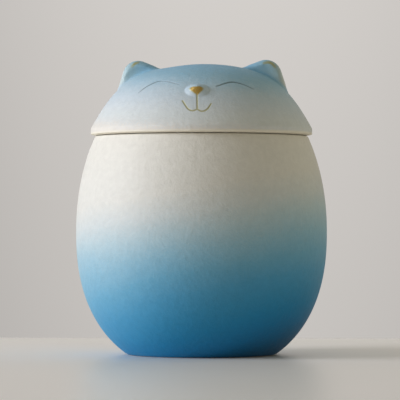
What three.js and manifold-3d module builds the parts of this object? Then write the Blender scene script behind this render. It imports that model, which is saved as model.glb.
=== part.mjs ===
// A small covered urn of matt stoneware for the ashes of a cat. The jar is a thin-walled egg, cut flat below on a
// shallow foot ring. The lid is a low dome shaped as a cat's head, with two scooped ears, a raised nose, and a mouth
// and two closed eyes drawn as fine grooves. The lid rests on the jar's lip, and a ring below it keeps it in place.
// Millimetres, +Z up. The face looks along -Y, and the origin is on the jar's axis, at the level that it stands on.
import * as THREE from "three";
import { mergeVertices } from "three/addons/utils/BufferGeometryUtils.js";
import Module from "manifold-3d";

const wasm = await Module();
wasm.setup();

// The jar's egg: one superellipse above its widest level and a fuller one below it.
const JAR_RADIUS = 68;
const WIDEST_LEVEL = 67;
const SHOULDER = { height: 94.4, power: 2.05 };
const BOWL = { height: 77.6, power: 2.33 };
const JAR_TOP = 118.3;
const JAR_WALL = 5;
const JAR_FLOOR = 6;
const LIP_ROUNDING = 0.8;
const FOOT_ROUNDING = 0.9;
const FOOT_RING_WIDTH = 6.5;
const FOOT_RECESS = 1.5;
const JAR_STEPS = { outside: 13, inside: 9 };

// The lid's rim and the ring below it.
const SEAT_GAP = 0.3;
const RIM_RADIUS = 60;
const RIM_LAND = { bottom: 120.1, top: 121.6 };
const RIM_EDGE_ROUNDING = 0.9;
const RIM_SHOULDER_ROUNDING = 3;
const SEAT_RADIUS = 57;
const RING_RADIUS = 50.8;
const RING_WALL = 4.2;
const RING_DROP = 8;
const RING_ROUNDING = 0.9;

// The dome above the rim: it leaves the rim at a steep slope and flattens towards the crown.
const CROWN = 157.4;
const RIM_SLOPE = THREE.MathUtils.degToRad(61.1);
const RIM_PULL = 25.5;
const CROWN_PULL = 36.6;
const LID_WALL = 5.5;
const COVE = { level: 122.5, share: 0.88 };
const DOME_STEPS = { outside: 9, inside: 6 };

// Each ear is a round-tipped cone that leans outwards, flattened front to back and scooped out in front.
const EAR_TIP = { x: 34.8, y: 4.5, z: 151.4, radius: 8.7 };
const EAR_LEAN = THREE.MathUtils.degToRad(25.6);
const EAR_HALF_ANGLE = THREE.MathUtils.degToRad(43.7);
const EAR_SIDE = 14;
const EAR_ROOT = 10;
const EAR_FLATNESS = 0.62;
const EAR_RIM = 1.6;
const SCOOP = { forward: 5.2, flatness: 0.6 };
const EAR_SEGMENTS = 22;

// The nose is a low oval swelling on the front of the dome.
const NOSE = { x: -0.4, z: 141, halfWidth: 7, halfHeight: 4.4, rise: 2.8 };

// Grooves: each is a smooth line through a few points of the dome as seen from the front, x and z. The eyes are single
// arcs, and the mouth is a stem that ends between two hooks.
const GROOVE_RADIUS = 0.55;
const GROOVE_SUNK = 0.15;
const GROOVE_STEPS = 9;
const GROOVE_SIDES = 6;
const EYES = [
  [[-31.5, 140.4], [-26, 144.3], [-19, 146.6], [-9.3, 144.5]],
  [[10.2, 143.2], [17.4, 145.7], [23.5, 144.8], [29.6, 142.1]],
];
const MOUTH_FORK = [0.7, 130.5];
const MOUTH = [
  [[-7.4, 135.5], [-4.2, 130.8], [-1.6, 129.7], MOUTH_FORK],
  [MOUTH_FORK, [3.2, 129.3], [5.8, 130.4], [8, 133.6]],
  [[0.3, 138], MOUTH_FORK],
];

const TURN_SEGMENTS = 60;

// Points of a rounded corner, from a point on one side to a point on the other.
function roundedCorner(from, corner, to, steps = 2) {
  return new THREE.QuadraticBezierCurve(from, corner, to).getPoints(steps);
}

const point = (r, z) => new THREE.Vector2(r, z);

// The egg's radius at a height, with the whole egg drawn in by inset.
function eggRadius(z, inset = 0) {
  const { height, power } = z > WIDEST_LEVEL ? SHOULDER : BOWL;
  const share = Math.abs(z - WIDEST_LEVEL) / (height - inset);
  return (JAR_RADIUS - inset) * Math.pow(1 - Math.pow(share, power), 1 / power);
}

// Points of the egg's wall from a low height to a high one, closer together where it turns faster.
function eggWall(low, high, inset, steps) {
  const angleOf = (z) => {
    const { height, power } = z > WIDEST_LEVEL ? SHOULDER : BOWL;
    const share = Math.abs(z - WIDEST_LEVEL) / (height - inset);
    return Math.sign(z - WIDEST_LEVEL) * Math.asin(Math.pow(share, power / 2));
  };
  const first = angleOf(low);
  const last = angleOf(high);
  return Array.from({ length: steps + 1 }, (_, i) => {
    const angle = first + ((last - first) * i) / steps;
    const { height, power } = angle > 0 ? SHOULDER : BOWL;
    const rise = Math.pow(Math.abs(Math.sin(angle)), 2 / power) * (height - inset);
    const z = WIDEST_LEVEL + Math.sign(angle) * rise;
    return point(eggRadius(z, inset), z);
  });
}

// A profile turned about the vertical axis, as one closed surface.
function turned(profile, segments = TURN_SEGMENTS) {
  return new THREE.LatheGeometry(profile, segments).rotateX(Math.PI / 2);
}

// A geometry as a solid, and a solid as a geometry.
function solidOf(geometry) {
  const bare = geometry.clone();
  bare.deleteAttribute("normal");
  bare.deleteAttribute("uv");
  const merged = mergeVertices(bare, 1e-4);
  const mesh = new wasm.Mesh({
    numProp: 3,
    vertProperties: new Float32Array(merged.attributes.position.array),
    triVerts: new Uint32Array(merged.index.array),
  });
  return new wasm.Manifold(mesh);
}

function geometryOf(solid) {
  const mesh = solid.getMesh();
  const geometry = new THREE.BufferGeometry();
  geometry.setAttribute("position", new THREE.BufferAttribute(mesh.vertProperties, 3));
  geometry.setIndex(new THREE.BufferAttribute(mesh.triVerts, 1));
  geometry.computeVertexNormals();
  return geometry;
}

// The jar: its profile runs from the middle of the underside, over the foot ring, up the wall, over the lip and down
// the inside to the middle of the floor.
function jarGeometry() {
  const footRadius = eggRadius(0);
  const ringInner = footRadius - FOOT_RING_WIDTH;
  const mouthRadius = eggRadius(JAR_TOP, JAR_WALL);
  const lipRadius = eggRadius(JAR_TOP);
  const floorRadius = eggRadius(JAR_FLOOR, JAR_WALL);
  const floorRounding = 2 * JAR_WALL;
  const profile = [
    point(0, FOOT_RECESS),
    point(ringInner - FOOT_RECESS, FOOT_RECESS),
    point(ringInner, 0),
    ...roundedCorner(
      point(footRadius - FOOT_ROUNDING, 0),
      point(footRadius, 0),
      point(eggRadius(FOOT_ROUNDING), FOOT_ROUNDING),
    ),
    ...eggWall(FOOT_ROUNDING, JAR_TOP - LIP_ROUNDING, 0, JAR_STEPS.outside).slice(1, -1),
    ...roundedCorner(
      point(eggRadius(JAR_TOP - LIP_ROUNDING), JAR_TOP - LIP_ROUNDING),
      point(lipRadius, JAR_TOP),
      point(lipRadius - LIP_ROUNDING, JAR_TOP),
    ),
    ...roundedCorner(
      point(mouthRadius + LIP_ROUNDING, JAR_TOP),
      point(mouthRadius, JAR_TOP),
      point(eggRadius(JAR_TOP - LIP_ROUNDING, JAR_WALL), JAR_TOP - LIP_ROUNDING),
    ),
    ...eggWall(JAR_FLOOR + JAR_WALL, JAR_TOP - LIP_ROUNDING, JAR_WALL, JAR_STEPS.inside).reverse().slice(1, -1),
    ...roundedCorner(
      point(eggRadius(JAR_FLOOR + JAR_WALL, JAR_WALL), JAR_FLOOR + JAR_WALL),
      point(floorRadius, JAR_FLOOR),
      point(floorRadius - floorRounding, JAR_FLOOR),
      3,
    ),
    point(0, JAR_FLOOR),
  ];
  return turned(profile);
}

// The dome's curve, from the end of the rim's rounding to the crown.
const shoulderCentre = point(RIM_RADIUS - RIM_SHOULDER_ROUNDING, RIM_LAND.top);
const shoulderTurn = Math.PI / 2 - RIM_SLOPE;
const domeStart = point(
  shoulderCentre.x + RIM_SHOULDER_ROUNDING * Math.cos(shoulderTurn),
  shoulderCentre.y + RIM_SHOULDER_ROUNDING * Math.sin(shoulderTurn),
);
const dome = new THREE.CubicBezierCurve(
  domeStart,
  point(domeStart.x - RIM_PULL * Math.cos(RIM_SLOPE), domeStart.y + RIM_PULL * Math.sin(RIM_SLOPE)),
  point(CROWN_PULL, CROWN),
  point(0, CROWN),
);

// The dome's own radius at a height, found by halving the curve.
function domeRadius(z) {
  let low = 0;
  let high = 1;
  for (let i = 0; i < 40; i++) {
    const middle = (low + high) / 2;
    if (dome.getPoint(middle).y < z) low = middle;
    else high = middle;
  }
  return dome.getPoint(low).x;
}

// The inside of the lid, from the ring's lower edge to the crown, a wall's thickness in from the dome.
function lidInside() {
  const ringInner = RING_RADIUS - RING_WALL;
  const inside = Array.from({ length: DOME_STEPS.inside }, (_, i) => {
    const share = 1 - COVE.share + (COVE.share * i) / (DOME_STEPS.inside - 1);
    const on = dome.getPoint(share);
    const along = dome.getTangent(share);
    return point(on.x - LID_WALL * along.y, on.y + LID_WALL * along.x);
  });
  inside.at(-1).x = 0;
  return [point(ringInner, COVE.level), ...inside];
}

// The lid without its ears and face: the profile runs from the crown, down the dome, round the rim, along the seat,
// round the ring and up the inside.
function bareLidGeometry() {
  const seat = JAR_TOP + SEAT_GAP;
  const ringBottom = seat - RING_DROP;
  const ringInner = RING_RADIUS - RING_WALL;
  const edgeBottom = RIM_LAND.bottom - RIM_EDGE_ROUNDING;
  const shoulder = [0.5, 0].map((share) =>
    point(
      shoulderCentre.x + RIM_SHOULDER_ROUNDING * Math.cos(share * shoulderTurn),
      shoulderCentre.y + RIM_SHOULDER_ROUNDING * Math.sin(share * shoulderTurn),
    ),
  );
  const profile = [
    ...dome.getPoints(DOME_STEPS.outside).reverse(),
    ...shoulder,
    ...roundedCorner(
      point(RIM_RADIUS, RIM_LAND.bottom),
      point(RIM_RADIUS, edgeBottom),
      point(RIM_RADIUS - RIM_EDGE_ROUNDING, edgeBottom),
    ),
    point(SEAT_RADIUS, seat),
    point(RING_RADIUS, seat),
    ...roundedCorner(
      point(RING_RADIUS, ringBottom + RING_ROUNDING),
      point(RING_RADIUS, ringBottom),
      point(RING_RADIUS - RING_ROUNDING, ringBottom),
    ),
    ...roundedCorner(
      point(ringInner + RING_ROUNDING, ringBottom),
      point(ringInner, ringBottom),
      point(ringInner, ringBottom + RING_ROUNDING),
    ),
    ...lidInside(),
  ];
  return turned(profile.reverse());
}

// What the ears may not reach into: the space under the dome.
function hollowGeometry() {
  return turned([point(0, COVE.level), ...lidInside()]);
}

// A cone with a round tip, its axis along +Z and its tip's centre at the origin, flattened along Y.
function roundTippedCone(radius, flatness) {
  const tipSteps = 4;
  const tip = Array.from({ length: tipSteps + 1 }, (_, i) => {
    const fromAxis = ((Math.PI / 2 - EAR_HALF_ANGLE) * (tipSteps - i)) / tipSteps;
    return point(radius * Math.sin(fromAxis), radius * Math.cos(fromAxis));
  });
  const foot = point(
    tip[0].x + EAR_SIDE * Math.sin(EAR_HALF_ANGLE),
    tip[0].y - EAR_SIDE * Math.cos(EAR_HALF_ANGLE),
  );
  const profile = [point(0, -EAR_ROOT), point(foot.x, -EAR_ROOT), foot, ...tip];
  profile.at(-1).x = 0;
  return turned(profile, EAR_SEGMENTS).scale(1, flatness, 1);
}

// An ear on the side given by 1 or -1.
function ear(side) {
  const place = (geometry) =>
    solidOf(geometry.rotateY(side * EAR_LEAN).translate(side * EAR_TIP.x, EAR_TIP.y, EAR_TIP.z));
  const whole = place(roundTippedCone(EAR_TIP.radius, EAR_FLATNESS));
  const scooped = roundTippedCone(EAR_TIP.radius - EAR_RIM, SCOOP.flatness).translate(0, -SCOOP.forward, 0);
  return whole.subtract(place(scooped));
}

// The nose's swelling, its flat side along the slope of the dome.
function nose() {
  const step = 0.5;
  const slope = Math.atan2(2 * step, domeRadius(NOSE.z - step) - domeRadius(NOSE.z + step));
  const swelling = new THREE.SphereGeometry(1, 20, 12)
    .scale(NOSE.halfWidth, NOSE.rise, NOSE.halfHeight)
    .rotateX(slope - Math.PI / 2)
    .translate(NOSE.x, -domeRadius(NOSE.z), NOSE.z);
  return solidOf(swelling);
}

// The point of the dome that is seen from the front at this place.
function onDome(x, z) {
  const radius = domeRadius(z);
  return new THREE.Vector3(x, -Math.sqrt(radius * radius - x * x), z);
}

// The point just below the dome's surface that is seen from the front at this place.
function underDome(x, z) {
  const on = onDome(x, z);
  return on.setLength(on.length() - GROOVE_SUNK);
}

// The cutter for the place where the mouth's three lines meet.
function forkDimple() {
  const { x, y, z } = underDome(...MOUTH_FORK);
  return solidOf(new THREE.SphereGeometry(1.3 * GROOVE_RADIUS, 8, 6).translate(x, y, z));
}

// A groove's cutter: a round bar whose middle line follows the stroke.
function groove(stroke) {
  const seen = new THREE.SplineCurve(stroke.map(([x, z]) => point(x, z)));
  const middle = seen.getPoints(GROOVE_STEPS).map(({ x, y: z }) => underDome(x, z));
  const section = new THREE.Shape(
    Array.from({ length: GROOVE_SIDES }, (_, i) => {
      const angle = (2 * Math.PI * i) / GROOVE_SIDES;
      return point(GROOVE_RADIUS * Math.cos(angle), GROOVE_RADIUS * Math.sin(angle));
    }),
  );
  const bar = new THREE.ExtrudeGeometry(section, {
    steps: GROOVE_STEPS,
    extrudePath: new THREE.CatmullRomCurve3(middle),
  });
  return solidOf(bar);
}

function lidGeometry() {
  const hollow = solidOf(hollowGeometry());
  let lid = solidOf(bareLidGeometry());
  for (const side of [-1, 1]) lid = lid.add(ear(side).subtract(hollow));
  lid = lid.add(nose().subtract(hollow));
  for (const stroke of [...EYES, ...MOUTH]) lid = lid.subtract(groove(stroke));
  lid = lid.subtract(forkDimple());
  return geometryOf(lid);
}

// Matt stoneware. The jar runs from cream at the lip to blue at the foot, and the lid from blue at the crown to cream
// at the rim, so each is given the middle of its range.
const jarGlaze = new THREE.MeshStandardMaterial({ color: 0x8fb1c2, roughness: 0.75, metalness: 0 });
const lidGlaze = new THREE.MeshStandardMaterial({ color: 0xa9c0cb, roughness: 0.75, metalness: 0 });

function piece(name, geometry, material) {
  const mesh = new THREE.Mesh(geometry, material);
  mesh.name = name;
  return mesh;
}

const urn = new THREE.Group();
urn.name = "cat_urn";
urn.add(piece("egg_jar", jarGeometry(), jarGlaze));
urn.add(piece("cat_head_lid", lidGeometry(), lidGlaze));

export default urn;
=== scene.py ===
"""A cat-shaped urn of matt stoneware, on a pale table in soft light from a window on the left.

The frame gives the two pieces at their real size, in metres. Both are modelled again here, finely enough for their
soft edges, drawn lines and sprayed colours to show, and each takes the place of its node.
"""
import math

import bpy
import numpy as np
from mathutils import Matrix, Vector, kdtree


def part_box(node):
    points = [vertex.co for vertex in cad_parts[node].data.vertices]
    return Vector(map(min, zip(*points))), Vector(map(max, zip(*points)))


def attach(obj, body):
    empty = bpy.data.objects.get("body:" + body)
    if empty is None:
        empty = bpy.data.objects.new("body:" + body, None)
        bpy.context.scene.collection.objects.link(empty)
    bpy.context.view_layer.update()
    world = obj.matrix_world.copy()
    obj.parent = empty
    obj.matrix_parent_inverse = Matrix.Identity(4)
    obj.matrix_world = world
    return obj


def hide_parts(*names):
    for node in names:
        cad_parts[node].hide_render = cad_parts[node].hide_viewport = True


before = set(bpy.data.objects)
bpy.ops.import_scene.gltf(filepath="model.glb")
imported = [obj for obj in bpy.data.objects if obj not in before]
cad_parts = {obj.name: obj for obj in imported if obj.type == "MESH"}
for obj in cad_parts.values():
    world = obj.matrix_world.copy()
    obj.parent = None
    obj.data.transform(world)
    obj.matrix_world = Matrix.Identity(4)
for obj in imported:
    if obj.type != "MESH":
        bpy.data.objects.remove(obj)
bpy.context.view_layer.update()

# The jar is slip-cast stoneware in one piece: an egg cut flat below, with a rounded lip and a ring foot. It is
# sprayed while dry, from cream at the lip to blue at the foot, and fired matt. Sizes are in millimetres.
MM = 0.001
JAR_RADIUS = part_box("egg_jar")[1][0] / MM
JAR_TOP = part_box("egg_jar")[1][2] / MM
WIDEST_LEVEL = 67
SHOULDER = (94.4, 2.05)
BOWL = (77.6, 2.33)
JAR_WALL = 5
JAR_FLOOR = 6
LIP_ROUNDING = 0.9
FOOT_ROUNDING = 1.4
FOOT_RING_WIDTH = 6.5
FOOT_RECESS = 1.5
WHEEL_STEPS = 192
MATT = 0.54

# The lowest stop, at -14 mm, is reached only where the extra lean near the foot paints shade on the lower right.
JAR_COLOURS = [
    (-14, (0.001, 0.098, 0.250)),
    (-5, (0.001, 0.155, 0.365)),
    (0, (0.001, 0.183, 0.420)),
    (6, (0.002, 0.211, 0.460)),
    (13, (0.007, 0.243, 0.498)),
    (24, (0.034, 0.294, 0.543)),
    (35, (0.072, 0.346, 0.590)),
    (46, (0.148, 0.424, 0.624)),
    (56, (0.275, 0.515, 0.659)),
    (67, (0.455, 0.617, 0.687)),
    (78, (0.645, 0.703, 0.710)),
    (90, (0.760, 0.758, 0.712)),
    (118, (0.800, 0.785, 0.725)),
]


def egg_radius(z, inset=0.0):
    """The egg's radius at a height, with the whole egg drawn in by inset."""
    height, power = SHOULDER if z > WIDEST_LEVEL else BOWL
    share = abs(z - WIDEST_LEVEL) / (height - inset)
    return (JAR_RADIUS - inset) * (1 - share**power) ** (1 / power)


def egg_wall(low, high, inset, steps):
    """Points of the egg's wall from one height to another."""
    return [(egg_radius(z, inset), z) for z in np.linspace(low, high, steps)]


def rounded(start, corner, end, steps=6):
    """Points of a rounded corner, which leaves start and reaches end along the lines to the corner."""
    start, corner, end = map(np.array, (start, corner, end))
    shares = np.linspace(0, 1, steps)
    return [tuple((1 - t) ** 2 * start + 2 * t * (1 - t) * corner + t * t * end) for t in shares]


def thrown(name, profile, steps=WHEEL_STEPS):
    """A piece turned on the wheel: the profile is drawn point by point and spun once round the upright axis.

    The profile's points are radius and height in millimetres. An end that isn't on the axis leaves an open edge.
    """
    bpy.ops.object.select_all(action="DESELECT")
    bpy.ops.mesh.primitive_circle_add(vertices=3, radius=MM, enter_editmode=True)
    bpy.ops.mesh.merge(type="CENTER")
    bpy.ops.transform.translate(value=(profile[0][0] * MM, 0, profile[0][1] * MM))
    for (r, z), (next_r, next_z) in zip(profile, profile[1:]):
        step = ((next_r - r) * MM, 0, (next_z - z) * MM)
        bpy.ops.mesh.extrude_vertices_move(TRANSFORM_OT_translate={"value": step})
    bpy.ops.mesh.select_all(action="SELECT")
    bpy.ops.mesh.spin(steps=steps, angle=2 * math.pi, center=(0, 0, 0), axis=(0, 0, 1), use_auto_merge=True)
    bpy.ops.mesh.select_all(action="SELECT")
    bpy.ops.mesh.remove_doubles(threshold=0.002 * MM)
    bpy.ops.mesh.normals_make_consistent(inside=False)
    bpy.ops.object.mode_set(mode="OBJECT")
    piece = bpy.context.object
    piece.name = name
    return piece


foot_radius = egg_radius(0)
foot_ring_inner = foot_radius - FOOT_RING_WIDTH
lip_radius = egg_radius(JAR_TOP)
mouth_radius = egg_radius(JAR_TOP, JAR_WALL)
floor_corner = egg_radius(JAR_FLOOR, JAR_WALL)
jar = thrown(
    "egg_jar_dressed",
    [(0, FOOT_RECESS), (foot_ring_inner / 2, FOOT_RECESS)]
    + rounded((foot_ring_inner - 4, FOOT_RECESS), (foot_ring_inner - 1, FOOT_RECESS), (foot_ring_inner - 0.4, 0.5))
    + rounded((foot_ring_inner - 0.2, 0.2), (foot_ring_inner, 0), (foot_ring_inner + 0.6, 0), 4)
    + rounded((foot_radius - FOOT_ROUNDING, 0), (foot_radius, 0), (egg_radius(FOOT_ROUNDING), FOOT_ROUNDING))
    + egg_wall(FOOT_ROUNDING, JAR_TOP - LIP_ROUNDING, 0, 72)[1:-1]
    + rounded((egg_radius(JAR_TOP - LIP_ROUNDING), JAR_TOP - LIP_ROUNDING), (lip_radius, JAR_TOP),
              (lip_radius - LIP_ROUNDING, JAR_TOP))
    + rounded((mouth_radius + LIP_ROUNDING, JAR_TOP), (mouth_radius, JAR_TOP),
              (egg_radius(JAR_TOP - LIP_ROUNDING, JAR_WALL), JAR_TOP - LIP_ROUNDING))
    + egg_wall(JAR_TOP - LIP_ROUNDING, JAR_FLOOR + JAR_WALL, JAR_WALL, 40)[1:-1]
    + rounded((egg_radius(JAR_FLOOR + JAR_WALL, JAR_WALL), JAR_FLOOR + JAR_WALL), (floor_corner, JAR_FLOOR),
              (floor_corner - 2 * JAR_WALL, JAR_FLOOR), 10)
    + [(15, JAR_FLOOR), (0, JAR_FLOOR)],
)


class Shade:
    """An output socket in a material. Arithmetic on it adds Math nodes, and node() adds any other node."""

    def __init__(self, tree, socket=None):
        self.tree = tree
        self.socket = socket

    def node(self, kind, inputs=None, output=0, stops=(), **settings):
        made = self.tree.nodes.new("ShaderNode" + kind)
        for name, value in settings.items():
            setattr(made, name, value)
        if stops:
            ramp = made.color_ramp
            ramp.elements[1].position = 1
            for place, colour in stops[1:-1]:
                ramp.elements.new(place).color = (*colour, 1)
            ramp.elements[0].position, ramp.elements[0].color = stops[0][0], (*stops[0][1], 1)
            ramp.elements[-1].position, ramp.elements[-1].color = stops[-1][0], (*stops[-1][1], 1)
        for name, value in (inputs or {}).items():
            if isinstance(value, Shade):
                self.tree.links.new(value.socket, made.inputs[name])
            else:
                made.inputs[name].default_value = value
        return Shade(self.tree, made.outputs[output])

    def maths(self, operation, *values, **settings):
        return self.node("Math", dict(enumerate(values)), operation=operation, **settings)

    def __add__(self, other):
        return self.maths("ADD", self, other)

    __radd__ = __add__

    def __sub__(self, other):
        return self.maths("SUBTRACT", self, other)

    def __rsub__(self, other):
        return self.maths("SUBTRACT", other, self)

    def __mul__(self, other):
        return self.maths("MULTIPLY", self, other)

    __rmul__ = __mul__

    def __truediv__(self, other):
        return self.maths("DIVIDE", self, other)

    def tinted(self, colour, amount):
        """This colour mixed with another one by amount."""
        return self.node("Mix", {0: amount, 6: self, 7: colour}, output=2, data_type="RGBA")


def new_finish(name, roughness):
    """An empty material, its shader, and the place on the piece that its patterns read."""
    finish = bpy.data.materials.new(name)
    finish.use_nodes = True
    shader = finish.node_tree.nodes["Principled BSDF"]
    shader.inputs["Roughness"].default_value = roughness
    place = Shade(finish.node_tree).node("TexCoord", output="Object")
    return finish, shader, place


def feed(shader, socket, shade):
    """Links a pattern to one of a shader's sockets."""
    shade.tree.links.new(shade.socket, shader.inputs[socket])


def noise(place, size, detail=2.0, roughness=0.5):
    """Cloudy noise from 0 to 1 whose blotches are about size millimetres across."""
    inputs = {"Vector": place, "Scale": 1 / (size * MM), "Detail": detail, "Roughness": roughness}
    return place.node("TexNoise", inputs)


def by_level(colours, level):
    """The colour at a level in millimetres, out of colours given with their own levels, lowest first."""
    lowest, highest = colours[0][0], colours[-1][0]
    stops = [((stop - lowest) / (highest - lowest), colour) for stop, colour in colours]
    return level.node("ValToRGB", {0: (level - lowest) / (highest - lowest)}, stops=stops)


def sprayed_clay(name, colours, rise):
    """Matt stoneware sprayed in bands of colour, given by height in millimetres, with the grain of dry spray.

    The bands rise from left to right, by rise. Near the foot they lean more, which paints the window's sheen onto the
    lower left and shade onto the lower right. Returns the material, its shader, the place that its patterns read, and
    the sprayed colour.
    """
    finish, shader, place = new_finish(name, MATT)
    upwards = place.node("SeparateXYZ", {0: place}, output="Z")
    # Near the foot the lean grows: painted sheen on the lower left and painted shade on the lower right.
    lean = place.node("MapRange", {0: upwards, 1: 0.012, 2: 0.052, 3: rise + 0.25, 4: rise})
    height = upwards - lean * place.node("SeparateXYZ", {0: place}, output="X")
    cloud = noise(place, 55, 1)
    mottle = noise(place, 7, 3)
    spray = noise(place, 0.9, 2, 0.7)
    grain = noise(place, 0.45, 1)
    sand = noise(place, 3.2, 3, 0.6)
    level = height / MM + (cloud - 0.5) * 7 + (mottle - 0.5) * 3 + (spray - 0.5) * 9
    colour = place.node("HueSaturation", {"Value": 0.91 + sand * 0.18, "Color": by_level(colours, level)})
    feed(shader, "Base Color", colour)
    feed(shader, "Roughness", MATT - 0.04 + mottle * 0.08)
    shader.inputs["Specular IOR Level"].default_value = 0.35
    relief = sand * 0.80 + spray * 0.17 + grain * 0.03
    bump = place.node("Bump", {"Strength": 1.0, "Distance": 0.35 * MM, "Height": relief})
    feed(shader, "Normal", bump)
    return finish, shader, place, colour


def plain_clay(name, colour, roughness):
    """Unsprayed clay or clear lining: one pale colour with a faint mottle and a fine grain."""
    finish, shader, place = new_finish(name, roughness)
    darker = tuple(0.86 * part for part in colour)
    mottle = noise(place, 9, 4)
    feed(shader, "Base Color", place.node("Mix", {0: mottle, 6: (*colour, 1), 7: (*darker, 1)}, output=2,
                                          data_type="RGBA"))
    bump = place.node("Bump", {"Strength": 0.3, "Distance": 0.15 * MM, "Height": noise(place, 0.8, 2)})
    feed(shader, "Normal", bump)
    return finish


def lay_on(piece, finish, chosen=None):
    """Adds a finish to a piece, for all its faces or for those whose centre, in millimetres, is chosen."""
    piece.data.materials.append(finish)
    slot = len(piece.data.materials) - 1
    if chosen:
        for face in piece.data.polygons:
            if chosen(face.center / MM):
                face.material_index = slot


def inside_jar(centre):
    return centre.z > FOOT_RECESS + 1 and math.hypot(centre.x, centre.y) < egg_radius(centre.z) - JAR_WALL / 2


def on_foot(centre):
    below = centre.z < FOOT_RECESS + 0.1 and math.hypot(centre.x, centre.y) < foot_ring_inner + 0.1
    return below or centre.z < 0.25


lining = plain_clay("clear_lined_clay", (0.74, 0.70, 0.62), 0.5)
bare_clay = plain_clay("bare_foot_clay", (0.70, 0.64, 0.54), 0.85)
lay_on(jar, sprayed_clay("cream_to_blue_spray", JAR_COLOURS, 0.165)[0])
lay_on(jar, lining, inside_jar)
lay_on(jar, bare_clay, on_foot)
bpy.ops.object.shade_smooth()
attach(jar, "root")
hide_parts("egg_jar")

# The lid is a second casting: a low dome on a short upright rim, with a ring below that sits inside the jar's mouth.
# Its two ears are modelled on and scooped out in front, and its nose is a small swelling. The eyes and the mouth are
# scratched into the damp clay, and gold lustre is brushed on the nose, the mouth and the tips of the ears.
SEAT = JAR_TOP + 0.3
RIM_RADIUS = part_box("cat_head_lid")[1][0] / MM
RIM_LAND = (119.65, 121.6)
RIM_EDGE_ROUNDING = 0.5
RIM_SHOULDER_ROUNDING = 3
SEAT_RADIUS = 57
RING_RADIUS = 50.8
RING_WALL = 4.2
RING_DROP = 8
RING_ROUNDING = 0.9
CROWN = 157.4
RIM_SLOPE = math.radians(61.1)
RIM_PULL = 25.5
CROWN_PULL = 36.6
LID_WALL = 5.5
COVE_LEVEL = 122.5
SEAM_LEVEL = 124
LUMP_STEPS = 128

LID_COLOURS = [
    (118, (0.790, 0.760, 0.700)),
    (120, (0.775, 0.755, 0.710)),
    (123, (0.725, 0.750, 0.745)),
    (126, (0.695, 0.747, 0.757)),
    (130, (0.679, 0.738, 0.767)),
    (136, (0.605, 0.698, 0.770)),
    (141, (0.528, 0.658, 0.752)),
    (145, (0.418, 0.602, 0.732)),
    (149, (0.307, 0.535, 0.693)),
    (154, (0.243, 0.500, 0.715)),
    (160, (0.190, 0.440, 0.670)),
]

shoulder_turn = math.pi / 2 - RIM_SLOPE
shoulder_centre = np.array((RIM_RADIUS - RIM_SHOULDER_ROUNDING, RIM_LAND[1]))


def shoulder_point(share):
    """A point of the rounding between the rim and the dome, from 0 at the rim to 1 at the dome."""
    turn = share * shoulder_turn
    return shoulder_centre + RIM_SHOULDER_ROUNDING * np.array((math.cos(turn), math.sin(turn)))


dome_start = shoulder_point(1)
dome_controls = (
    dome_start,
    dome_start + RIM_PULL * np.array((-math.cos(RIM_SLOPE), math.sin(RIM_SLOPE))),
    np.array((CROWN_PULL, CROWN)),
    np.array((0, CROWN)),
)


def dome_point(t):
    """A point of the dome's curve, from 0 at its foot to 1 at the crown."""
    a, b, c, d = dome_controls
    return (1 - t) ** 3 * a + 3 * t * (1 - t) ** 2 * b + 3 * t * t * (1 - t) * c + t**3 * d


def dome_normal(t):
    """The curve's outward direction there."""
    a, b, c, d = dome_controls
    along = (1 - t) ** 2 * (b - a) + 2 * t * (1 - t) * (c - b) + t * t * (d - c)
    return np.array((along[1], -along[0])) / np.hypot(*along)


# The same curve as seen from a point on the axis, so that clay can be pressed exactly onto it. The hand-finished dome
# sags a little beside the ear on the left.
HEART = 95
SAG = {"x": -16.5, "y": 0, "depth": 0.75, "width": 11, "length": 20}
curve = np.array([shoulder_point(0.9 * i / 40) for i in range(40)] + [dome_point(i / 2000) for i in range(2001)])
curve_angle = np.arctan2(curve[:, 1] - HEART, curve[:, 0])
curve_reach = np.hypot(curve[:, 1] - HEART, curve[:, 0])


def dome_sag(points):
    """How far the dome sags below its curve at points."""
    away = ((points[:, 0] - SAG["x"]) / SAG["width"]) ** 2 + ((points[:, 1] - SAG["y"]) / SAG["length"]) ** 2
    return SAG["depth"] * np.exp(-away) * (points[:, 2] > HEART)


def above_dome(points):
    """How far points, in millimetres, stand out from the dome, and the rays from the heart that they lie on."""
    out = points - (0, 0, HEART)
    reach = np.linalg.norm(out, axis=1)
    angle = np.arctan2(out[:, 2], np.hypot(out[:, 0], out[:, 1]))
    return reach - np.interp(angle, curve_angle, curve_reach) + dome_sag(points), out / reach[:, None]


def mesh_points(piece):
    """A mesh's points, in millimetres."""
    points = np.empty(len(piece.data.vertices) * 3)
    piece.data.vertices.foreach_get("co", points)
    return points.reshape(-1, 3) / MM


def move_points(piece, points):
    """Puts a mesh's points, in millimetres, where they are given."""
    piece.data.vertices.foreach_set("co", (points * MM).ravel())
    piece.data.update()


def in_edit_mode(piece, points_chosen, *operations):
    """Selects some of a mesh's points, with the edges and faces between them, and runs operators on them."""
    bpy.ops.object.select_all(action="DESELECT")
    bpy.context.view_layer.objects.active = piece
    piece.select_set(True)
    bpy.ops.object.mode_set(mode="EDIT")
    bpy.ops.mesh.select_mode(type="VERT")
    bpy.ops.mesh.select_all(action="DESELECT")
    bpy.ops.object.mode_set(mode="OBJECT")
    piece.data.vertices.foreach_set("select", np.asarray(points_chosen, bool))
    bpy.ops.object.mode_set(mode="EDIT")
    bpy.ops.mesh.select_mode(type="VERT")
    for operation, settings in operations:
        operation(**settings)
    bpy.ops.object.mode_set(mode="OBJECT")


def apply_modifier(piece, kind, **settings):
    """Adds a modifier to a piece and applies it."""
    modifier = piece.modifiers.new(kind.lower(), kind)
    for name, value in settings.items():
        setattr(modifier, name, value)
    bpy.ops.object.select_all(action="DESELECT")
    bpy.context.view_layer.objects.active = piece
    bpy.ops.object.modifier_apply(modifier=modifier.name)


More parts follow.
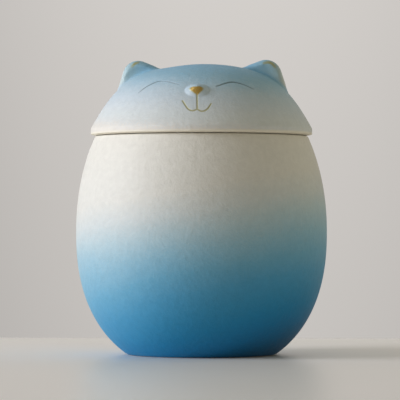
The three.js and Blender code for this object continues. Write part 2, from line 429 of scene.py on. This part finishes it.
def worked(piece, tool, how):
    """Joins another lump of clay to a piece, or cuts it away, and clears the tool away."""
    apply_modifier(piece, "BOOLEAN", object=tool, operation=how, solver="MANIFOLD")
    bpy.data.objects.remove(tool)


# The lump that the head is made from closes below the seam, where it is cut off again.
head = thrown(
    "cat_head_lid_dressed",
    [(0, SEAT), (RIM_RADIUS - 4, SEAT), (RIM_RADIUS, SEAT + 1.5)]
    + [tuple(shoulder_point(share)) for share in (0, 0.35, 0.7)]
    + [tuple(dome_point(share)) for share in np.linspace(0, 1, 60)],
    LUMP_STEPS,
)

# Each ear is a round-tipped cone of clay that leans outwards, pressed flat front to back. A smaller one, set forward,
# gives its scoop.
EAR_TIP = (34.8, 4.5, 151.4)
EAR_TIP_RADIUS = {-1: 8.5, 1: 8.75}
EAR_LEAN = math.radians(25.6)
EAR_HALF_ANGLE = math.radians(43.7)
EAR_SIDE = 14
EAR_ROOT = 10
EAR_FLATNESS = 0.62
SCOOP_FLATNESS = 0.15
SCOOP_OUTWARD = 0.5
SCOOP_FORWARD = 5.3
SCOOP_SLANT = 0.1
EAR_STEPS = 64


def ear_clay(name, side, radius, root, flatness, outward=0.0, forward=0.0, slant=0.0):
    """A round-tipped cone, flattened, moved outward and forward, leaned and set where the ear's tip is."""
    angles = np.linspace(math.pi / 2 - EAR_HALF_ANGLE, 0, 16)
    tip = [(radius * math.sin(a), radius * math.cos(a)) for a in angles]
    foot = (
        tip[0][0] + EAR_SIDE * math.sin(EAR_HALF_ANGLE),
        tip[0][1] - EAR_SIDE * math.cos(EAR_HALF_ANGLE),
    )
    cone = thrown(name, [(0, -root), (foot[0], -root), foot, *tip], EAR_STEPS)
    across, through, up = mesh_points(cone).T
    across = across + side * outward
    through = through * flatness - forward + slant * up
    lean = side * EAR_LEAN
    x = across * math.cos(lean) + up * math.sin(lean)
    z = up * math.cos(lean) - across * math.sin(lean)
    move_points(cone, np.column_stack((x, through, z)) + (side * EAR_TIP[0], EAR_TIP[1], EAR_TIP[2]))
    return cone


for side in (-1, 1):
    ear = ear_clay("ear", side, EAR_TIP_RADIUS[side], EAR_ROOT, EAR_FLATNESS)
    scoop = ear_clay("scoop", side, EAR_TIP_RADIUS[side], EAR_ROOT + 3, SCOOP_FLATNESS, SCOOP_OUTWARD,
                     SCOOP_FORWARD, SCOOP_SLANT)
    worked(ear, scoop, "DIFFERENCE")
    worked(head, ear, "UNION")

# One skin of even clay over the whole head. The ears are rubbed smooth and blended into the dome with a wet finger,
# and everything else is pressed back exactly onto the dome.
CLAY_GRAIN = 0.63
EAR_RUBS = 5
JOINT_RUBS = 26
JOINT_REACH = 2.6
JOINT_LEVEL = SEAM_LEVEL + 6
PRESS_REACH = 0.30
PRESS_FADE = 0.25
apply_modifier(head, "REMESH", mode="VOXEL", voxel_size=CLAY_GRAIN * MM)
points = mesh_points(head)
_, ray = above_dome(points)
points = points - ray * dome_sag(points)[:, None]
move_points(head, points)
height, _ = above_dome(points)
in_edit_mode(head, height > 1, (bpy.ops.mesh.vertices_smooth, {"factor": 0.5, "repeat": EAR_RUBS}))

joint = points[(height > 0.3) & (height < 1.1) & (points[:, 2] > JOINT_LEVEL)]
tree = kdtree.KDTree(len(joint))
for index, spot in enumerate(joint):
    tree.insert(spot, index)
tree.balance()
by_ear = (np.abs(np.abs(points[:, 0]) - EAR_TIP[0]) < 26) & (np.abs(points[:, 1] - EAR_TIP[1]) < 20)
near_joint = [bool(close) and tree.find(spot)[2] < JOINT_REACH for spot, close in zip(points, by_ear)]
in_edit_mode(head, near_joint, (bpy.ops.mesh.vertices_smooth, {"factor": 0.5, "repeat": JOINT_RUBS}))


def pressed_to_dome(piece):
    """Presses what lies on the dome, or all but on it, exactly onto it, and leaves what stands out."""
    points = mesh_points(piece)
    height, ray = above_dome(points)
    share = np.clip((PRESS_REACH - np.abs(height)) / PRESS_FADE, 0, 1)
    hold = share * share * (3 - 2 * share)
    move_points(piece, points - ray * (height * hold)[:, None])


in_edit_mode(
    head,
    np.ones(len(points)),
    (bpy.ops.mesh.bisect, {"plane_co": (0, 0, SEAM_LEVEL * MM), "plane_no": (0, 0, 1), "clear_inner": True}),
)
pressed_to_dome(head)

# The face is drawn in the damp clay with a fine stylus, on the dome as it is seen from the front: points are x and z.
EYES = [
    [(-31.5, 140.4), (-26, 144.3), (-19, 146.6), (-9.3, 144.5)],
    [(10.2, 143.2), (17.4, 145.7), (23.5, 144.8), (29.6, 142.1)],
]
MOUTH_FORK = (0.7, 130.8)
MOUTH = [
    [(-7.2, 135.3), (-4.2, 131.1), (-1.6, 130.0), MOUTH_FORK],
    [MOUTH_FORK, (3.2, 129.7), (5.8, 130.7), (7.8, 133.7)],
    [(0.3, 139), (0.5, 134.5), MOUTH_FORK],
]
EYE_LINE = {"half_width": 0.68, "depth": 0.55}
EYE_PRESSURE = (0.85, 1.08)
LINE_CORE = 0.15
MOUTH_LINE = {"half_width": 0.70, "depth": 0.20}
NOSE = {"x": 0.3, "z": 141.0, "half_width": 6.9, "half_height": 3.7, "rise": 3.9, "roundness": 0.15}
NOSE_RUBS = 8
NOSE_GOLD = {"x": 0.45, "bottom": 137.6, "top": 143.2, "half_width": 3.3, "left_stretch": 1.35}
FACE_FRONT = -40
EARS_BEHIND = -20
EAR_GOLD = [
    [(-37.8, 156.5), (-36.4, 158.0), (-34.5, 158.8)],
    [(33.9, 158.1), (36.5, 158.5), (38.5, 157.6), (39.8, 156.0)],
]


def smooth_line(marks, count=160):
    """Points of a smooth line through a few marks."""
    marks = np.array(marks, float)
    padded = np.vstack((2 * marks[0] - marks[1], marks, 2 * marks[-1] - marks[-2]))
    places = np.linspace(0, len(marks) - 1, count)
    first = np.minimum(places.astype(int), len(marks) - 2)
    t = (places - first)[:, None]
    a, b, c, d = (padded[first + i] for i in range(4))
    return 0.5 * (2 * b + (c - a) * t + (2 * a - 5 * b + 4 * c - d) * t**2 + (3 * b - a - 3 * c + d) * t**3)


def on_dome(line):
    """The points of the dome that lie behind a line seen from the front."""
    radius = np.interp(line[:, 1], curve[:, 1], curve[:, 0])
    return np.column_stack((line[:, 0], -np.sqrt(radius**2 - line[:, 0] ** 2), line[:, 1]))


def from_line(points, line):
    """How far each point is from a line, and how far along the line the nearest place is, from 0 to 1."""
    apart = np.full(len(points), 99.0)
    along = np.zeros(len(points))
    near = np.flatnonzero(np.all((points > line.min(0) - 3) & (points < line.max(0) + 3), axis=1))
    gaps = np.linalg.norm(points[near, None, :] - line[None, :, :], axis=2)
    apart[near] = gaps.min(1)
    along[near] = gaps.argmin(1) / (len(line) - 1)
    return apart, along


def faded(value, full, none):
    """1 where a value is at full, 0 where it is at none, and smooth between."""
    share = np.clip((none - value) / (none - full), 0, 1)
    return share * share * (3 - 2 * share)


eye_lines = [on_dome(smooth_line(marks)) for marks in EYES]
mouth_lines = [on_dome(smooth_line(marks)) for marks in MOUTH]
ear_strokes = []
for marks in EAR_GOLD:
    stroke = smooth_line(marks)
    ear_strokes.append(np.column_stack((stroke[:, 0], np.full(len(stroke), EAR_TIP[1] - 3), stroke[:, 1])))


def by_nose(points, margin):
    """Which points lie on the nose or within a margin round it."""
    across = (points[:, 0] - NOSE["x"]) / (NOSE["half_width"] + margin)
    up = (points[:, 2] - NOSE["z"]) / (NOSE["half_height"] + margin)
    return (across**2 + up**2 < 1) & (points[:, 1] < 0)


def by_ear_stroke(points, reach):
    """Which points lie near the gold on an ear, seen from the front."""
    flat = points * (1, 0, 1)
    close = [from_line(flat, stroke * (1, 0, 1))[0] < reach for stroke in ear_strokes]
    return np.any(close, axis=0) & (points[:, 1] < EAR_TIP[1] + 1) & (points[:, 1] > EAR_TIP[1] - 9)


# The clay is made finer where the stylus and the brush go, and pressed onto the dome again.
for reach, margin in ((2.0, 1.5), (1.1, 0.3)):
    points = mesh_points(head)
    close = [from_line(points, line)[0] < reach for line in eye_lines + mouth_lines]
    fine = np.any(close, axis=0) | by_nose(points, margin) | by_ear_stroke(points, reach - 0.3)
    in_edit_mode(head, fine, (bpy.ops.mesh.subdivide, {"number_cuts": 1, "ngon": False}))
pressed_to_dome(head)

points = mesh_points(head)
_, ray = above_dome(points)
across = (points[:, 0] - NOSE["x"]) / NOSE["half_width"]
up = (points[:, 2] - NOSE["z"]) / NOSE["half_height"]
swell = np.where(by_nose(points, 0), 1 - np.sqrt(across**2 + up**2 + NOSE["roundness"] ** 2), 0).clip(0)
points = points + ray * (NOSE["rise"] * swell)[:, None]
move_points(head, points)
in_edit_mode(head, by_nose(points, 1.5), (bpy.ops.mesh.vertices_smooth, {"factor": 0.5, "repeat": NOSE_RUBS}))

points = mesh_points(head)
height, ray = above_dome(points)
# A grey laid in the drawn lines: in the eyes it is painted shade in the grooves, in the mouth painted shade and a
# grey stain under the lustre.
groove_shade_and_stain = np.zeros(len(points))
cut = np.zeros(len(points))
for line, pressure in zip(eye_lines, EYE_PRESSURE):
    apart, along = from_line(points, line)
    thin = pressure * (0.35 + 0.65 * np.sin(np.pi * np.clip(along, 0.02, 0.98)) ** 0.6)
    cut = np.maximum(cut, EYE_LINE["depth"] * thin * faded(apart, 0, EYE_LINE["half_width"] * (0.6 + 0.4 * thin)))
    # Painted shade in the eye's groove, deeper where the stylus pressed harder.
    groove_shade_and_stain = np.maximum(groove_shade_and_stain, thin * faded(apart, 0.2, EYE_LINE["half_width"]))
gold = np.zeros(len(points))
beneath = points - ray * height[:, None]
for line in mouth_lines:
    apart, _ = from_line(beneath, line)
    cut = np.maximum(cut, MOUTH_LINE["depth"] * faded(apart, 0, MOUTH_LINE["half_width"]) * (height < 1.2))
    drawn = faded(apart, LINE_CORE, MOUTH_LINE["half_width"])
    gold = np.maximum(gold, 0.75 * drawn)
    # Painted groove shade and a grey stain under the mouth's lustre.
    groove_shade_and_stain = np.maximum(groove_shade_and_stain, 0.20 * drawn)
share = (points[:, 2] - NOSE_GOLD["bottom"]) / (NOSE_GOLD["top"] - NOSE_GOLD["bottom"])
half_width = NOSE_GOLD["half_width"] * np.sin(np.pi * np.clip(share, 0, 1) ** 2.2) ** 0.6
beside = points[:, 0] - NOSE_GOLD["x"]
beyond = np.where(beside < 0, -beside / NOSE_GOLD["left_stretch"], beside) - half_width
brushed = faded(beyond, -0.9, 0.5) * faded(np.abs(share - 0.5), 0.42, 0.5)
gold = np.maximum(gold, brushed * (points[:, 1] < FACE_FRONT))
flat = points * (1, 0, 1)
for stroke in ear_strokes:
    apart, along = from_line(flat, stroke * (1, 0, 1))
    brushed = faded(apart, 0.3, 1.1) * by_ear_stroke(points, 1.2)
    gold = np.maximum(gold, brushed * (0.5 + 0.3 * np.sin(np.pi * along)))
ear = faded(height, 2.5, 0.4) * (points[:, 2] > JOINT_LEVEL) * (points[:, 1] > EARS_BEHIND)
move_points(head, points - ray * cut[:, None])
for name, painted in (("gold", gold), ("groove_shade_and_stain", groove_shade_and_stain), ("ear", ear)):
    head.data.attributes.new(name, "FLOAT", "POINT").data.foreach_set("value", painted)

# The rim, the seat, the ring and the hollow are turned in one, and joined to the head along the foot of the dome.
seam_radius = float(np.interp(SEAM_LEVEL - 0.5, curve[:, 1], curve[:, 0]))
ring_inner = RING_RADIUS - RING_WALL
ring_bottom = SEAT - RING_DROP
edge_bottom = RIM_LAND[0] - RIM_EDGE_ROUNDING
foot_of_dome = [tuple(spot) for spot in curve if spot[1] < SEAM_LEVEL - 0.7][::-10]
under_dome = [tuple(dome_point(t) - LID_WALL * dome_normal(t)) for t in np.linspace(0.12, 1, 30)]
rim = thrown(
    "rim",
    [(seam_radius, SEAM_LEVEL - 0.5), *foot_of_dome]
    + rounded((RIM_RADIUS, RIM_LAND[0]), (RIM_RADIUS, edge_bottom), (RIM_RADIUS - RIM_EDGE_ROUNDING, edge_bottom))
    + rounded((SEAT_RADIUS + 0.5, SEAT + 0.15), (SEAT_RADIUS, SEAT), (SEAT_RADIUS - 0.6, SEAT), 4)
    + rounded((RING_RADIUS + 0.4, SEAT), (RING_RADIUS, SEAT), (RING_RADIUS, SEAT - 0.4), 4)
    + rounded((RING_RADIUS, ring_bottom + RING_ROUNDING), (RING_RADIUS, ring_bottom),
              (RING_RADIUS - RING_ROUNDING, ring_bottom))
    + rounded((ring_inner + RING_ROUNDING, ring_bottom), (ring_inner, ring_bottom),
              (ring_inner, ring_bottom + RING_ROUNDING))
    + rounded((ring_inner, COVE_LEVEL - 1.5), (ring_inner, COVE_LEVEL), under_dome[0])
    + under_dome[1:-1] + [(0, CROWN - LID_WALL)],
)
for name in ("gold", "groove_shade_and_stain", "ear"):
    rim.data.attributes.new(name, "FLOAT", "POINT")
rim.select_set(True)
head.select_set(True)
bpy.context.view_layer.objects.active = head
bpy.ops.object.join()
in_edit_mode(
    head,
    np.zeros(len(head.data.vertices)),
    (bpy.ops.mesh.select_non_manifold, {"extend": False, "use_wire": False, "use_multi_face": False,
                                        "use_non_contiguous": False, "use_verts": False}),
    (bpy.ops.mesh.bridge_edge_loops, {}),
    (bpy.ops.mesh.select_all, {"action": "SELECT"}),
    (bpy.ops.mesh.normals_make_consistent, {"inside": False}),
)

# The lid's colours run from cream at the rim to blue at the crown, thinner towards the ears' outer edges. Lustre lies
# over them, a grey is laid in the lines as painted shade in the grooves, with a stain in the mouth, and the rim's
# lower edge is made paler, nearly cream.
GOLD_LUSTRE = (0.50, 0.32, 0.07, 1)
THIN_LUSTRE = (0.48, 0.44, 0.14, 1)
GROOVE_SHADE_AND_STAIN_GREY = (0.13, 0.17, 0.19, 1)
PALE_LOWER_EDGE = (0.90, 0.85, 0.72, 1)
EAR_COLOURS = [
    (24, (0.243, 0.500, 0.715)),
    (35, (0.310, 0.525, 0.655)),
    (41, (0.420, 0.595, 0.655)),
    (46, (0.660, 0.700, 0.680)),
]
spray, shader, place, colour = sprayed_clay("blue_to_cream_spray", LID_COLOURS, -0.06)
# The rim's lower edge, below 120.6 mm, is made paler, nearly cream.
paler_lower_edge = place.node("MapRange", {0: place.node("SeparateXYZ", {0: place}, output="Z") / MM, 1: 120.6, 2: 119.6})
colour = colour.tinted(PALE_LOWER_EDGE, paler_lower_edge * 0.9)
brushed = place.node("Attribute", output="Fac", attribute_name="gold")
groove_shade_and_stain_share = place.node("Attribute", output="Fac", attribute_name="groove_shade_and_stain")
worn = brushed * (0.80 + noise(place, 0.8, 2) * 0.35)
lustre = worn.maths("MINIMUM", worn, 1.0)
sideways = place.node("SeparateXYZ", {0: place}, output="X")
thinner = by_level(EAR_COLOURS, sideways.maths("ABSOLUTE", sideways) / MM)
colour = colour.tinted(thinner, place.node("Attribute", output="Fac", attribute_name="ear"))
thick = place.node("MapRange", {0: lustre, 1: 0.78, 2: 0.97})
gilt = place.node("Mix", {0: thick, 6: THIN_LUSTRE, 7: GOLD_LUSTRE}, output=2, data_type="RGBA")
# The grey in the lines is painted groove shade, with a stain under the mouth's lustre.
feed(shader, "Base Color", colour.tinted(GROOVE_SHADE_AND_STAIN_GREY, groove_shade_and_stain_share * 0.65).tinted(gilt, lustre))
feed(shader, "Metallic", lustre * 0.4)
feed(shader, "Roughness", MATT - lustre * 0.24)


def inside_lid(centre):
    angle = math.atan2(centre.z - HEART, math.hypot(centre.x, centre.y))
    reach = math.hypot(centre.z - HEART, centre.x, centre.y)
    return centre.z > COVE_LEVEL - 2 and reach < np.interp(angle, curve_angle, curve_reach) - LID_WALL / 2


def unsprayed(centre):
    return centre.z < SEAT + 0.1 or inside_lid(centre) or (
        centre.z < COVE_LEVEL and math.hypot(centre.x, centre.y) < RING_RADIUS)


head.data.materials.clear()
lay_on(head, spray)
lay_on(head, lining, unsprayed)
bpy.ops.object.select_all(action="DESELECT")
head.select_set(True)
bpy.ops.object.shade_smooth()
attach(head, "root")
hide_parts("cat_head_lid")

# The table is a pale, faintly glossy slab that ends a hand's length behind the urn, painted lighter towards the back
# as painted light from behind. Far behind it stands a plain wall, which gives off an even glow of its own, a little
# brighter above and on the left.
TABLE_SIZE = (3.2, 1.8, 0.03)
TABLE_BACK = 0.212
WALL_DISTANCE = 3.2
bpy.ops.object.select_all(action="DESELECT")
bpy.ops.mesh.primitive_cube_add(size=1, location=(0, TABLE_BACK - TABLE_SIZE[1] / 2, -TABLE_SIZE[2] / 2),
                                scale=TABLE_SIZE)
table = bpy.context.object
table.name = "table"
bpy.ops.object.transform_apply()
top, shader, place = new_finish("pale_table", 0.34)
# Painted light from behind: the top is lighter towards the back.
away = place.node("MapRange", {0: place.node("SeparateXYZ", {0: place}, output="Y"), 1: -0.10, 2: 0.20})
blotches = place.node("Mix", {0: noise(place, 60, 3), 6: (0.83, 0.80, 0.772, 1), 7: (0.85, 0.82, 0.792, 1)},
                      output=2, data_type="RGBA")
feed(shader, "Base Color", blotches.tinted((0.97, 0.94, 0.91, 1), away))
lay_on(table, top)
bpy.ops.mesh.primitive_plane_add(size=9, location=(0, WALL_DISTANCE, 1.0), rotation=(math.pi / 2, 0, 0))
wall = bpy.context.object
wall.name = "wall"
bpy.ops.object.transform_apply()
paint, shader, place = new_finish("plain_wall", 0.9)
shader.inputs["Base Color"].default_value = (0, 0, 0, 1)
shader.inputs["Emission Strength"].default_value = 1
sideways = place.node("SeparateXYZ", {0: place}, output="X")
upwards = place.node("SeparateXYZ", {0: place}, output="Z")
glow = 0.574 + upwards * 0.13 - sideways * 0.105 - sideways * sideways * 0.5
glow = glow.maths("MINIMUM", glow.maths("MAXIMUM", glow, 0.40), 0.66)
feed(shader, "Emission Color", place.node("CombineColor", {0: glow, 1: glow * 0.957, 2: glow * 0.915}))
lay_on(wall, paint)

# Soft light: a broad window low on the left and a little to the front, and the warm light of the room.
WINDOW_AZIMUTH = math.radians(75)
WINDOW_HEIGHT = math.radians(18)
WINDOW_DISTANCE = 1.8
window_from = WINDOW_DISTANCE * np.array((
    -math.cos(WINDOW_HEIGHT) * math.sin(WINDOW_AZIMUTH),
    -math.cos(WINDOW_HEIGHT) * math.cos(WINDOW_AZIMUTH),
    math.sin(WINDOW_HEIGHT),
))
bpy.ops.object.light_add(type="AREA", location=window_from + (0, 0, 0.08),
                         rotation=(math.pi / 2 - WINDOW_HEIGHT, 0, -WINDOW_AZIMUTH))
window = bpy.context.object
window.name = "window"
window.data.shape = "RECTANGLE"
window.data.size = 1.0
window.data.size_y = 1.0
window.data.energy = 27.2
window.data.color = (0.90, 0.92, 1)

bpy.ops.object.light_add(type="AREA", location=(1.2, 0.56, 0.4), rotation=(math.radians(76), 0, math.radians(115)))
bounce = bpy.context.object
bounce.name = "light_from_the_right"
bounce.data.size = 1.2
bounce.data.energy = 2.0
bounce.data.color = (1, 0.93, 0.62)

room = bpy.data.worlds.new("room")
room.use_nodes = True
room.node_tree.nodes["Background"].inputs["Color"].default_value = (0.292, 0.270, 0.212, 1)
bpy.context.scene.world = room

# The camera stands level with the jar's widest part, a long way off, a little to the right of the face.
CAMERA_DISTANCE = 1.470
CAMERA_HEIGHT = 0.0704
CAMERA_TURN = math.radians(3)
FRAME_PIXELS = 400
AXIS_PIXEL = 201.5
HORIZON_PIXEL = 224.7
PIXEL_AT_AXIS = 0.5426 * MM
yaw = math.atan((FRAME_PIXELS / 2 - AXIS_PIXEL) * PIXEL_AT_AXIS / CAMERA_DISTANCE)
pitch = math.atan((HORIZON_PIXEL - FRAME_PIXELS / 2) * PIXEL_AT_AXIS / CAMERA_DISTANCE)
bpy.ops.object.camera_add(
    location=(CAMERA_DISTANCE * math.sin(CAMERA_TURN), -CAMERA_DISTANCE * math.cos(CAMERA_TURN), CAMERA_HEIGHT),
    rotation=(math.pi / 2 + pitch, 0, CAMERA_TURN - yaw),
)
camera = bpy.context.object
camera.data.sensor_width = 36
camera.data.lens = camera.data.sensor_width * CAMERA_DISTANCE / (PIXEL_AT_AXIS * FRAME_PIXELS)
camera.data.clip_end = 20
bpy.context.scene.camera = camera
bpy.context.scene.view_settings.view_transform = "Standard"
